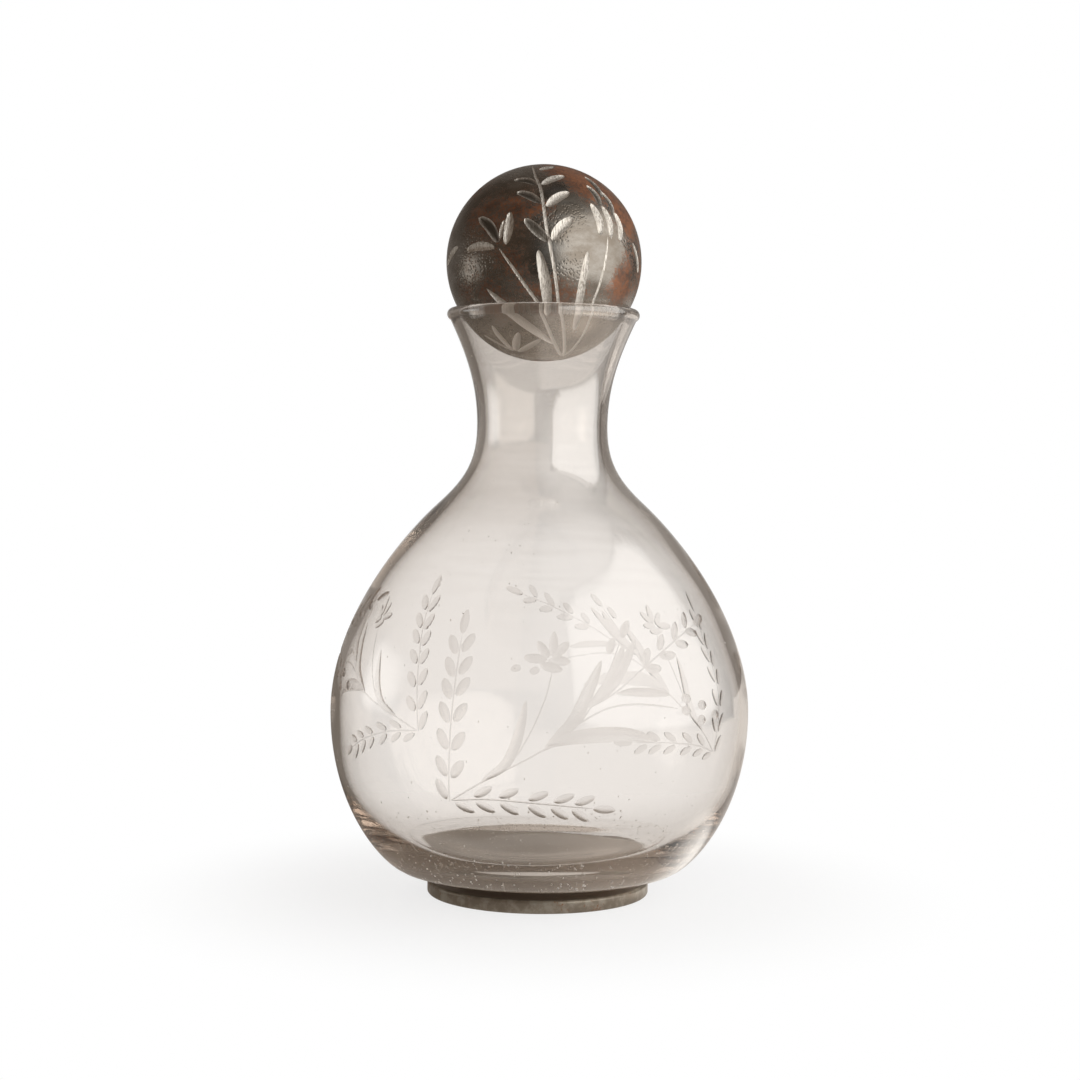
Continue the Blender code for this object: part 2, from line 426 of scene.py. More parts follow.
def glass_at(face):
    """Thickness of the glass at (r, z) of the outer side: heavy in the base and
    heaviest round the heel, thin in the belly, fuller at the mouth."""
    radius, height = face[:, :1], face[:, 1:]
    near_base = np.clip(1 - height / base_build_up, 0, 1)
    near_lip = np.clip(1 - (roll_centre[1] - height) / lip_build_up, 0, 1)
    heel = np.exp(-((radius - heel_fill_radius) / heel_fill_width) ** 2)
    return (wall_glass + (base_glass - wall_glass) * near_base ** 2
            + heel_fill * near_base * heel + (lip_glass - wall_glass) * near_lip)


def rows_between(low, high):
    """Even lengths along the glass from low to high, about a row apart."""
    return np.linspace(low, high, max(2, round((high - low) / row_pitch)) + 1)


def inner_grid(turns):
    """The inner side, a thickness inside the outer one from the lip to the base,
    with the slight waves of blown glass: sums of sines round and along it."""
    along = rows_between(0, outer_length)[::-1]
    place, normal = outer_at(along)
    face = place - normal * glass_at(place)
    face[-1, 0] = 0
    ease = np.sin(np.pi * along / outer_length)[:, None]
    swing = np.sin(2 * turns + 1.0 + 40 * along[:, None])
    swing += 0.6 * np.sin(3 * turns + 2.1 - 95 * along[:, None])
    swing += 0.5 * np.sin(5 * turns + 0.4 + 160 * along[:, None])
    settled = np.exp(-((along[:, None] - 0.036) / 0.012) ** 2)
    sag = np.cos(2 * turns + 0.3) + 0.8 * np.cos(3 * turns - 0.9) + 0.5 * np.cos(5 * turns + 1.7)
    grid = round_axis(face, turns)
    outward = round_axis(normal, turns)
    wave = wave_height * ease * swing + base_wave_height * settled * sag
    wave[-1] = 0
    return grid + wave[:, :, None] * outward


def smooth_line(points, pitch):
    """An even line through given points: between two of them, a cubic
    whose end slopes are half the step between the points on either side."""
    given = np.array(points, float)
    padded = np.vstack([2 * given[0] - given[1], given, 2 * given[-1] - given[-2]])
    slope = (padded[2:] - padded[:-2]) / 2
    t = np.linspace(0, 1, 16, endpoint=False)[None, :, None]
    start, end = given[:-1, None], given[1:, None]
    start_slope, end_slope = slope[:-1, None], slope[1:, None]
    fine = ((2 * t ** 3 - 3 * t ** 2 + 1) * start + (t ** 3 - 2 * t ** 2 + t) * start_slope
            + (3 * t ** 2 - 2 * t ** 3) * end + (t ** 3 - t ** 2) * end_slope)
    fine = np.vstack([fine.reshape(-1, given.shape[1]), given[-1:]])
    along = along_line(fine)
    even = np.linspace(0, along[-1], max(4, round(along[-1] / pitch)) + 1)
    return np.stack([np.interp(even, along, column) for column in fine.T], 1)


def leaf_cut(points, width, depth=0.20, fullness=0.6):
    """A pointed hollow: half width W/2 (1 - u^2)^fullness for u from -1 at its
    base to 1 at its tip, and depth a share of the half width."""
    line = smooth_line(points, line_pitch)
    u = np.linspace(-1, 1, len(line))
    return line, width / 2 * (1 - u ** 2) ** fullness, depth * width / 2


def stem_cut(points, width=stem_width, depth=0.35):
    """A hair line: half width W/2, run out to nothing over the last fifth."""
    line = smooth_line(points, line_pitch)
    u = np.linspace(0, 1, len(line))
    ends = np.clip(np.minimum(u / 0.04, (1 - u) / 0.2), 0, 1)
    return line, width / 2 * np.sqrt(ends), depth * width / 2


def sprig(stem, left_places, right_places, left_lean, right_lean, width):
    """A stem with leaves to both sides and one at its end. Each leaf starts a
    millimetre beside the stem and leans off its direction."""
    line = smooth_line(stem, line_pitch)
    along = np.arange(len(line)) * line_pitch
    cuts = [stem_cut(stem)]
    for side, places, lean in ((-1, left_places, left_lean), (1, right_places, right_lean)):
        for place in places:
            index = min(np.searchsorted(along, place), len(line) - 2)
            forward = unit_vectors(line[index + 1] - line[index])
            beside = side * np.array([forward[1], -forward[0]])
            reach = heading(lean) @ np.stack([forward, beside])
            base = line[index] + 1.0 * beside
            middle = base + 0.5 * leaf_length * reach + 0.25 * forward
            cuts.append(leaf_cut([base, middle, base + leaf_length * reach], width))
    last = unit_vectors(line[-1] - line[-8])
    cuts.append(leaf_cut([line[-1], line[-1] + (leaf_length + 1) * last], width))
    return cuts


def flower_sprig():
    """All cuts of one sprig, in millimetres from its root."""
    cuts = sprig([(0, 0), (0.4, 6.5), (1.4, 20.6), (2.2, 40.2), (2.1, 56.6)],
                 (0.9, 8.8, 17.9, 26.7, 34.5, 41.8, 49.5),
                 (8.6, 17.9, 27.3, 35.7, 42.7, 50.3), 29, 32, leaf_width)
    cuts += sprig([(0.6, 0.8), (9, 1.7), (17.9, 1.9), (35.0, 0.7), (50.2, -1.0)],
                  (8.6, 17.2, 27.2, 35.8, 43.0), (1.3, 9.0, 17.6, 27.2, 35.1, 42.4),
                  25, 29, 0.8 * leaf_width)
    stems = [
        [(0.6, 0.8), (12.8, 8.1), (27.4, 15.9), (33.8, 19.4), (40.7, 21.0), (57.2, 21.6),
         (68.3, 21.2)],
        [(24.2, 17.0), (27.4, 22.5), (30.4, 28.5), (33.6, 36.7), (35.8, 45.4)],
        [(33.0, 19.0), (44.0, 27.5), (48.4, 32.8), (52.6, 39.4), (56.5, 46.1), (61.6, 55.5)],
        [(48.4, 32.8), (57.5, 37.6), (70.3, 46.1), (85.5, 54.0), (99.1, 59.1)],
        [(40.0, 25.2), (51.0, 31.1), (57.7, 33.0), (65.7, 33.3), (74.7, 32.3), (81.7, 31.0)]]
    cuts += [stem_cut(stem) for stem in stems]
    blades = [
        ([(33.3, 20.5), (39.5, 22.5), (46.4, 23.7), (56.3, 24.0), (64.0, 23.2), (72.6, 20.6)], 4.8),
        ([(12.2, 8.2), (19.5, 13.2), (22.9, 18.6), (25.2, 25.7), (27.1, 35.1)], 3.6),
        ([(33.4, 19.8), (39.0, 24.8), (43.3, 29.5), (49.0, 40.3), (53.2, 48.3)], 4.4),
        ([(47.5, 32.7), (55.9, 39.7), (60.2, 45.1), (67.6, 55.1)], 4.0),
        ([(47.5, 32.7), (54.6, 40.0), (58.6, 46.0), (62.5, 53.7)], 3.6),
        ([(57.5, 37.0), (63.0, 37.4), (70.1, 37.0), (78.6, 35.9)], 3.1)]
    cuts += [leaf_cut(points, width, 0.2, 0.6) for points, width in blades]
    petals = [
        ((34.1, 48.6), (25.5, 49.2)), ((34.6, 49.1), (30.3, 54.9)), ((35.9, 49.5), (36.6, 58.4)),
        ((36.3, 49.5), (41.9, 54.6)), ((35.2, 48.6), (42.1, 47.8)), ((31.3, 46.8), (39.4, 45.1))]
    cuts += [leaf_cut(ends, 3.3) for ends in petals]
    ovals = [
        ((61.6, 55.7), (66.3, 61.9)), ((55.8, 50.2), (58.9, 56.0)), ((99.1, 59.1), (107.7, 62.0)),
        ((92.7, 58.0), (96.0, 64.0)), ((84.8, 54.0), (88.9, 60.7)), ((76.5, 51.0), (80.4, 56.5)),
        ((69.4, 46.5), (72.5, 52.1)), ((92.6, 57.1), (99.5, 55.8)), ((85.4, 52.9), (92.1, 52.3)),
        ((76.5, 48.9), (84.3, 49.2)), ((69.6, 44.8), (76.6, 44.9))]
    cuts += [leaf_cut(ends, 3.2) for ends in ovals]
    berries = [(85.2, 30.2), (85.6, 34.2), (93.4, 31.5), (92.6, 26.6), (100.4, 27.7)]
    cuts += [leaf_cut([(x - 2.3, y + 0.4), (x + 2.3, y - 0.4)], 3.3, 0.2, 0.5) for x, y in berries]
    return cuts


def cut_outline(cut, pitch):
    """A cut's rim, and points in its hollow: the middle line, and lines half way
    out to the rim where the cut is wide. Across the line is a quarter turn on
    the flat, and on a ball square to the direction outward."""
    line, half, _ = cut
    length = np.linalg.norm(line[-1] - line[0])
    index = np.unique(np.linspace(0, len(line) - 1, max(6, round(length / pitch)) + 1).astype(int))
    forward = unit_vectors(np.gradient(line, axis=0)[index])
    middle, reach = line[index], half[index][:, None]
    if line.shape[1] == 2:
        beside = np.stack([forward[:, 1], -forward[:, 0]], 1)
    else:
        beside = np.cross(forward, unit_vectors(middle))
    rim = np.vstack([middle + beside * reach, (middle - beside * reach)[-2:0:-1]])
    inside = [middle[1:-1]]
    wide = half[index] > 0.6
    inside += [(middle + side * beside * reach)[wide] for side in (-0.55, 0.55)]
    return rim, np.vstack(inside)


def cut_field(points, cuts, margin, squeeze=1):
    """How deep the cuts sink at points, and how far inside a rim they lie: a
    point v from the middle line of a cut that is w wide to each side sinks
    D (1 - (v / w)^2) and lies w - v inside. squeeze narrows distances across."""
    sink = np.zeros(len(points))
    reach = np.full(len(points), -margin)
    squeeze = np.broadcast_to(squeeze, len(points))
    for line, half, depth in cuts:
        low = line.min(0) - half.max() - margin
        high = line.max(0) + half.max() + margin
        near = np.flatnonzero(((points > low) & (points < high)).all(1))
        if not len(near):
            continue
        apart = points[near][:, None] - line[None]
        apart[:, :, 0] *= squeeze[near][:, None]
        square = (apart ** 2).sum(2)
        best = square.argmin(1)
        away = np.sqrt(square[np.arange(len(near)), best])
        width = half[best]
        reach[near] = np.maximum(reach[near], width - away)
        share = np.where(away < width, away / np.maximum(width, 1e-6), 1)
        full = depth * np.minimum(1, width / (0.6 * half.max()))
        sink[near] = np.maximum(sink[near], full * (1 - share ** 2))
    return sink, reach


def triangulated(loops, loose):
    """Triangles between the points of a plane, with every loop's sides kept as
    edges. Where sides cross there is a new point. Returns the points, the
    triangles, and which given point each one is, or -1."""
    given = np.vstack([*loops, loose])
    edges, start = [], 0
    for loop in loops:
        index = np.arange(len(loop)) + start
        edges.append(np.stack([index, np.roll(index, -1)], 1))
        start += len(loop)
    flat, _, faces, origins, _, _ = delaunay_2d_cdt(
        [Vector(point) for point in given], np.vstack(edges).tolist(), [], 0, 1e-6, True)
    flat = np.array(flat, float)
    source = np.array([origin[0] if origin else -1 for origin in origins])
    flat[source >= 0] = given[source[source >= 0]]
    return flat, np.array(faces), source


def placed_cuts(pattern):
    """The sprig at each root, in millimetres along the belly's widest circle and
    up along the glass from the axis."""
    placed = []
    for turn, rise in roots:
        start = np.array([math.radians(turn) * belly_radius / millimetre, rise])
        placed += [(line + start, half, depth) for line, half, depth in pattern]
    return placed


def carved_band(turns):
    """The belly between its two plain parts: a mesh whose edges follow the rim
    of every cut, with the hollows sunk square to the glass. Returns its points,
    faces, outward normals and which faces are cut."""
    across = np.append(turns, turns[0] + math.tau) * belly_radius / millimetre
    rows = rows_between(band_low, band_high) / millimetre
    cuts = placed_cuts(flower_sprig())
    plain = np.stack(np.meshgrid(across, rows), 2)
    border = np.vstack([plain[0], plain[1:-1, -1], plain[-1, ::-1], plain[-2:0:-1, 0]])
    inner = plain[1:-1, 1:-1].reshape(-1, 2)
    inner = inner[cut_field(inner, cuts, cut_margin, squeeze_at(inner))[1] <= -plain_gap]
    rims, hollows = zip(*(cut_outline(cut, rim_pitch) for cut in cuts))
    flat, faces, _ = triangulated([border, *rims], np.vstack([*hollows, inner]))
    sink = cut_field(flat, cuts, cut_margin, squeeze_at(flat))[0]
    centre = flat[faces].mean(1)
    cut = cut_field(centre, cuts, cut_margin, squeeze_at(centre))[1] > 0
    place, normal = outer_at(flat[:, 1] * millimetre)
    turn = flat[:, 0] * millimetre / belly_radius
    outward = swung(normal, turn)
    return swung(place, turn) - outward * (sink * millimetre)[:, None], faces, outward, cut


def squeeze_at(flat):
    """How much narrower the glass is here than at the belly's widest circle."""
    return outer_at(flat[:, 1] * millimetre)[0][:, 0] / belly_radius


def smoked_glass():
    """Clear glass that darkens with its depth: rippled, faintly streaked above,
    satin in the cuts, and lustred where the foot joins it."""
    material, wire = new_material("smoked_glass")
    cut = wire.noted("cut")
    place = wire.node("TexCoord", output="Object")
    ripple = wire.noise(place, 22, 1)
    height = place.part("Z")
    drawn = wire.node("Mapping", {}, {"Vector": place, "Scale": (1, 1, 16)})
    cords = wire.noise(drawn, 22, 4, 0.6)
    streaks = cords.step(0.42, 0.70) * height.step(0.08, 0.13)
    # The glass is darker above the belly by height, and faintly streaked there
    darker_above = (height.step(*tone_heights) + 0.30 * streaks).blend(body_tone, upper_tone)
    tone = cut.blend(darker_above, cut_tone)
    grain = wire.noise(place, 2600, 2)
    bump = (ripple + 0.02 * cords + 0.04 * cut * grain).bump(0.16, 0.002)
    level = place.vector("MULTIPLY", (1, 1, 0))
    away = level.in_oval(join_middle, join_turn, join_size)
    edge = 1.0 + join_wander * (wire.noise(level, 30, 1) - 0.5) - away
    under = height.step(bottle_seat + join_height, bottle_seat + join_height - 0.0002)
    joined = edge.step(-0.02, 0.05) * under
    # The lustre is painted darker on the left and lighter on the right: painted shade and light
    join_painted_light = place.part("X").step(-0.010, 0.035).blend(join_shaded_left, join_lit_right)
    glass = wire.node("BsdfPrincipled", {}, {
        "Base Color": joined.blend(tone, join_painted_light), "Metallic": joined,
        "Transmission Weight": 1.0, "IOR": 1.5,
        "Coat Weight": (1 - cut) * height.step(*polished_heights),
        "Coat Roughness": 0.0, "Coat IOR": 1.6,
        "Roughness": 0.004 + 0.25 * cut + 0.546 * joined, "Normal": bump})
    clear = wire.node("BsdfTransparent", {}, {"Color": shadow_tone})
    shadow = wire.node("LightPath", output="Is Shadow Ray")
    surface = wire.node("MixShader", {}, {0: shadow, 1: glass, 2: clear})
    inside = wire.node("VolumeAbsorption", {}, {"Color": smoke, "Density": smoke_density})
    wire.node("OutputMaterial", {}, {"Surface": surface, "Volume": inside})
    return material


def bottle_surfaces():
    """The bottle's carved belly, and its plain parts: the base, and the upper
    side with the lip's roll and the whole inner side."""
    turns = seam_turn + np.arange(bottle_columns) * math.tau / bottle_columns
    lower = round_axis(outer_at(rows_between(0, band_low))[0], turns)
    upper = outer_at(rows_between(band_high, outer_length))[0]
    inner = inner_grid(turns)
    first = upper[-1] - roll_centre
    final = np.array([np.hypot(*inner[0, 0, :2]), inner[0, 0, 2]]) - roll_centre
    start = math.degrees(math.atan2(first[1], first[0]))
    end = math.degrees(math.atan2(final[1], final[0])) % 360
    roll = round_axis(arc(roll_centre, lip_roll, start, end, 16)[1:-1], turns)
    top = np.concatenate([round_axis(upper, turns), roll, inner])
    return carved_band(turns), [patch(lower), patch(top)]


def carved_piece(name, carved, plain, height, material):
    """A closed piece from its carved part and its plain parts, lifted to its
    height. Polished corners have the true outward direction of the turned
    surface, and cut ones the mean of the hollow's own faces."""
    points, faces, outward, cut = carved
    points, quads, triangles = welded(plain + [(points, faces)])
    cut = np.concatenate([np.zeros(len(quads) + len(triangles) - len(faces), bool), cut])
    polished = vertex_normals(points, quads, triangles, ~cut)
    polished[triangles[-len(faces):].ravel()] = outward[faces.ravel()]
    hollow = vertex_normals(points, quads, triangles, cut)
    corners, sizes = corner_list(quads, triangles)
    normals = np.where(np.repeat(cut, sizes)[:, None], hollow[corners], polished[corners])
    points[:, 2] += height
    piece = mesh_piece(name, points, quads, triangles, material)
    note(piece, "cut", "FACE", cut)
    piece.data.normals_split_custom_set(normals.tolist())
    return piece


def vertex_normals(points, quads, triangles, chosen):
    """Unit normals at the points: the sum of the chosen faces' normals there."""
    total = np.zeros((len(points), 3))
    start = 0
    for faces in (quads, triangles):
        use = faces[chosen[start:start + len(faces)]]
        start += len(faces)
        normals = np.repeat(face_normals(points, use), faces.shape[1], axis=0)
        for axis in range(3):
            total[:, axis] += np.bincount(use.ravel(), normals[:, axis], len(points))
    size = np.linalg.norm(total, axis=1)
    return total / np.where(size > 0, size, 1)[:, None]


def note(piece, name, domain, values):
    """Writes a number on each point, corner or face of the piece's mesh."""
    store = piece.data.attributes.new(name, "FLOAT", domain)
    store.data.foreach_set("value", values.astype(np.float32).ravel())


bottle_piece = carved_piece("blown_bottle", *bottle_surfaces(), bottle_seat, smoked_glass())
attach(bottle_piece, "bottle")
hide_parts("vessel")


# Seeds
# Small bubbles of air that the glass was blown with. They lie inside the wall,
# most of them in the heavy base, and are drawn out a little along it. Each is an
# opaque pale skin: a painted glint that stands in for the light a bubble turns back.

seed_count = 1400
seed_size = (0.00014, 0.00042)
# Pale skins painted as glints
seed_glint_dim, seed_glint_bright = (0.80, 0.77, 0.72, 1), (0.96, 0.95, 0.93, 1)


def glass_seeds():
    """Points and faces of all seeds: a small ball, drawn out along the glass by
    up to 2.4 times, at random places within the middle of the wall."""
    draw = np.random.default_rng(11)
    along = np.linspace(0.002, outer_length - 0.004, 2400)
    place, normal = outer_at(along)
    glass = glass_at(place)
    weight = place[:, 0] * glass[:, 0] ** 2.4
    chosen = draw.choice(len(along), seed_count, p=weight / weight.sum())
    depth = draw.uniform(0.35, 0.65, (seed_count, 1)) * glass[chosen]
    face = place[chosen] - normal[chosen] * depth
    turn = draw.uniform(0, math.tau, seed_count)
    size = draw.uniform(0, 1, seed_count) ** 2 * (seed_size[1] - seed_size[0]) + seed_size[0]
    size *= np.clip(glass[chosen, 0] / base_glass, 0.5, 1)
    stretch = 1 + 1.4 * draw.uniform(0, 1, seed_count) ** 2
    ball = arc((0, 0), 1, -90, 90, 4)
    ball[[0, -1], 0] = 0
    unit, quads, triangles = turned(ball, 8)
    out = swung(normal[chosen], turn)
    side = np.stack([np.cos(turn), np.sin(turn), np.zeros(seed_count)], 1)
    along_glass = np.cross(side, out)
    centre = swung(face, turn)
    points = (unit[None, :, :1] * side[:, None] + unit[None, :, 1:2] * out[:, None]
              + unit[None, :, 2:] * (stretch[:, None] * along_glass)[:, None])
    points = points * size[:, None, None] + centre[:, None]
    starts = np.arange(seed_count)[:, None, None] * len(unit)
    quads, triangles = quads + starts, triangles + starts
    return points.reshape(-1, 3), quads.reshape(-1, 4), triangles.reshape(-1, 3)


def seed_glint_skin():
    """Pale skins painted as glints, that differ a little from seed to seed."""
    material, wire = new_material("seed_glint_skin")
    place = wire.node("TexCoord", output="Object")
    tone = wire.noise(place, 300, 1).step(0.3, 0.7).blend(seed_glint_dim, seed_glint_bright)
    wire.finish(wire.node("BsdfPrincipled", {}, {"Base Color": tone, "Roughness": 0.1}))
    return material


seed_points, seed_quads, seed_triangles = glass_seeds()
seed_points[:, 2] += bottle_seat
seed_piece = mesh_piece("glass_seeds", seed_points, seed_quads, seed_triangles, seed_glint_skin())
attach(seed_piece, "bottle")


# Ball stopper
# A hollow ball of the same glass, blown, fired all over with bronze lustre that
# broke into copper clouds, and cut through to the glass with sprigs that run
# together under it. It lies loose in the mouth.

blow_hole_radius, button_length, button_gap, button_taper = 0.0048, 0.0042, 0.0003, 12.0
ball_glass = 0.0030
ball_height = bottle_seat + roll_centre[1] + touch_distance * math.cos(math.radians(seat_angle))
ball_top_angle = 172.0
ball_pitch, ball_rings, ball_columns = 1.5, 67, 48
ball_rim_pitch, ball_plain_gap, ball_cut_margin, leaf_shade_edge = 0.7, 0.4, 0.45, 0.9
bronze_dark = (0.175, 0.148, 0.120, 1)
bronze_grey = (0.30, 0.28, 0.253, 1)
# Painted light: the lower part of the ball is painted lighter, with a painted highlight patch low
# on its front right
painted_lower_light = (0.50, 0.465, 0.415, 1)
painted_highlight_heart, painted_highlight_tone = (0.36, -0.66, -0.66), (0.76, 0.715, 0.65, 1)
copper_dark, copper_bright = (0.080, 0.040, 0.024, 1), (0.27, 0.108, 0.048, 1)
bare_glass, bare_shade = (0.80, 0.755, 0.69, 1), (0.42, 0.38, 0.33, 1)
# Painted shade for the dark leaves, and painted light for the cuts low on the ball
painted_leaf_shade, painted_light_cut = (0.10, 0.085, 0.068, 1), (1.0, 0.97, 0.93, 1)

# Each cloud of copper: its direction from the ball's middle, reach and strength
copper_clouds = [((0.35, -0.45, 0.82), 0.50, 0.30), ((0.80, -0.33, 0.50), 0.40, 0.30),
                 ((0.90, -0.37, 0.12), 0.34, 0.08), ((0.78, -0.55, -0.30), 0.38, 0.20),
                 ((-0.50, -0.74, 0.45), 0.36, 0.17), ((-0.15, -0.85, 0.50), 0.30, 0.17),
                 ((-0.25, -0.96, 0.10), 0.32, 0.06), ((0.10, -0.90, -0.42), 0.30, 0.16),
                 ((0.40, -0.91, 0.08), 0.50, -0.35)]


def on_ball(places):
    """Points of the ball, in millimetres from its middle, at turns round the
    axis and heights above its equator, both in degrees."""
    turn, rise = np.array(places, float).T
    return ball_radius / millimetre * swung(heading(rise), np.radians(turn))


def ball_cuts():
    """All cuts of the ball, and those of its leaves that carry painted shade:
    the side that faces the front, and the same turned half round."""
    stems = [
        ([(48, -74), (20.5, -54.2), (12.8, -36.8), (9.8, -29.4), (6.5, -12), (3.5, 3), (0.9, 16.5),
          (-2.8, 40), (-9, 53), (-22, 70)], 1.15),
        ([(40, -73), (5.9, -49.2), (-0.7, -35.9), (-2.8, -30), (-11.2, -18.3), (-17.8, -8.6),
          (-26.5, 3.0)], 1.2),
        ([(44, -72), (36, -50), (33.3, -30), (35, -17), (37.0, -5.1), (40.0, 12)], 0.9)]
    blades = [
        ([(2.3, -36), (2.3, -28), (0.6, -15.3), (-3.3, 1.5)], 3.9, 0.5),
        ([(24.9, -46), (23.4, -30), (23.5, -14.7), (25.4, 1.5)], 3.0, 0.4),
        ([(12.6, -59), (-2.9, -50), (-17, -39), (-25.5, -30.6), (-37, -19.6)], 3.7, 0.7)]
    leaves = [
        ([(4.4, 7.0), (9.6, 14.4), (17.7, 20.8)], 4.0),
        ([(1.3, 27.6), (8.5, 33.9), (18.3, 38.9)], 3.7),
        ([(-2.3, 44.5), (7.2, 50.6), (19.9, 54.4)], 3.4),
        ([(-6.1, 61.6), (2, 65.6), (15.9, 67.8)], 3.0),
        ([(-22.3, 4.6), (-21.2, 14), (-21.9, 24.4)], 3.3),
        ([(-25.9, 8.0), (-25.6, 14), (-24.6, 19.5)], 1.5),
        ([(-29.5, 3.4), (-40, 4.6), (-50.6, 3.1)], 3.2),
        ([(-79.7, -3.2), (-68.5, 2.6), (-60.0, 5.8)], 2.8),
        ([(34.3, 11.2), (35.2, 20.5), (32.4, 31.4)], 3.3),
        ([(42.0, 10.6), (43.4, 20), (41.5, 30.4)], 3.1),
        ([(49.4, 8.9), (52.4, 18), (51.5, 27.3)], 3.1),
        ([(-44, -66), (-54, -57.5), (-62.2, -48.3)], 1.8),
        ([(-44, -65), (-42.6, -54), (-41.9, -42)], 2.6),
        ([(-42, -66), (-30, -58), (-20.8, -48.1)], 2.8),
        ([(-39, -67), (-18, -61.5), (-2.2, -53.9)], 2.6)]
    shaded_leaves = [
        ([(2.2, 6.3), (-5.4, 13.8), (-12.1, 19.8)], 3.6),
        ([(-2.3, 30.1), (-11, 35.6), (-20.7, 38.6)], 3.3),
        ([(-6.2, 44.5), (-15.5, 49.0), (-28.4, 49.9)], 3.1),
        ([(-27.0, 6.1), (-34, 15.5), (-44.3, 22.0)], 3.9),
        ([(40.3, 30.1), (40.5, 38), (37.2, 46.3)], 3.0),
        ([(46.2, 37.0), (47.8, 47), (46.2, 56.3)], 3.0),
        ([(48.6, 24.1), (51.0, 33), (49.6, 41.8)], 2.8),
        ([(73.5, -7.0), (68.5, 2), (63.8, 9.6)], 2.8)]
    cuts = [leaf_cut(on_ball(places), width, 0.36, 0.48)
            for places, width in shaded_leaves + leaves]
    cuts += [leaf_cut(on_ball(places), width, 0.3, fullness)
             for places, width, fullness in blades]
    cuts += [stem_cut(on_ball(places), width) for places, width in stems]
    radius = ball_radius / millimetre
    cuts = [(unit_vectors(line) * radius, half, depth) for line, half, depth in cuts]
    half_round = np.array([-1, -1, 1])
    behind = [(line * half_round, half, depth) for line, half, depth in cuts]
    return cuts + behind, cuts[:len(shaded_leaves)] + behind[:len(shaded_leaves)]


def seen_from_top(points):
    """The ball spread on a plane: x / (1 - z) and y / (1 - z), which keeps the
    shape of small things, so triangles that suit the plane suit the ball."""
    outward = unit_vectors(points)
    return outward[:, :2] / (1 - outward[:, 2:])


def carved_ball():
    """The ball's outer side but for a small cap on top: rings of points, and a
    mesh edge along the rim of every cut. Returns its points from the middle of
    the ball, its faces, outward normals and which faces are cut, and the painted
    shade of the dark leaves at each point: 0 at the rim, 1 from a set distance inside it."""
    radius = ball_radius / millimetre
    hole_angle = math.degrees(math.asin(blow_hole_radius / ball_radius))
    rings = np.linspace(hole_angle, ball_top_angle, ball_rings)
    circles = []
    for ring in rings:
        girth = math.tau * radius * math.sin(math.radians(ring))
        count = ball_columns if ring in (rings[0], rings[-1]) else round(girth / ball_pitch)
        turn = np.arange(count) * 360 / count
        circles.append(on_ball(np.stack([turn, np.full(count, ring - 90)], 1)))
    cuts, shaded_cuts = ball_cuts()
    inner = np.vstack(circles[1:-1])
    inner = inner[cut_field(inner, cuts, ball_cut_margin)[1] <= -ball_plain_gap]
    rims, hollows = zip(*(cut_outline(cut, ball_rim_pitch) for cut in cuts))
    loops = [circles[0], circles[-1], *rims]
    loose = seen_from_top(np.vstack([*hollows, inner]))
    flat, faces, source = triangulated([seen_from_top(loop) for loop in loops], loose)
    faces = faces[~((source[faces] >= 0) & (source[faces] < ball_columns)).all(1)]
    square = (flat ** 2).sum(1)[:, None]
    outward = np.hstack([2 * flat, square - 1]) / (square + 1)
    points = outward * radius
    sink = cut_field(points, cuts, ball_cut_margin)[0]
    centre = unit_vectors(points[faces].mean(1)) * radius
    cut = cut_field(centre, cuts, ball_cut_margin)[1] > 0
    # Painted shade of the dark leaves, fading in from their rims
    clear = np.clip(cut_field(points, shaded_cuts, ball_cut_margin)[1] / leaf_shade_edge, 0, 1)
    points = (points - outward * sink[:, None]) * millimetre
    if (face_normals(points, faces[:1]) * points[faces[0, 0]]).sum() < 0:
        faces = faces[:, ::-1]
    return (points, faces, outward, cut), clear


def ball_surfaces():
    """The carved outer side, the cap on top of it, and the inner side with the
    tapered side of the blow hole."""
    turns = np.arange(ball_columns) * math.tau / ball_columns
    cap = ball_radius * heading([ball_top_angle - 90, 86, 90])
    cap[-1, 0] = 0
    inner_radius = ball_radius - ball_glass
    face_depth = math.sqrt(ball_radius ** 2 - blow_hole_radius ** 2)
    inner_depth = math.sqrt(inner_radius ** 2 - blow_hole_radius ** 2)
    draw = math.tan(math.radians(button_taper))
    inner_hole = blow_hole_radius - (face_depth - inner_depth) * draw
    start = -math.degrees(math.acos(inner_hole / inner_radius))
    inside = arc((0, 0), inner_radius, 90, start, 40)
    inside[0, 0] = 0
    inside = np.vstack([inside, [(blow_hole_radius, -face_depth)]])
    carved, clear = carved_ball()
    return carved, [patch(round_axis(outline, turns)) for outline in (cap, inside)], clear


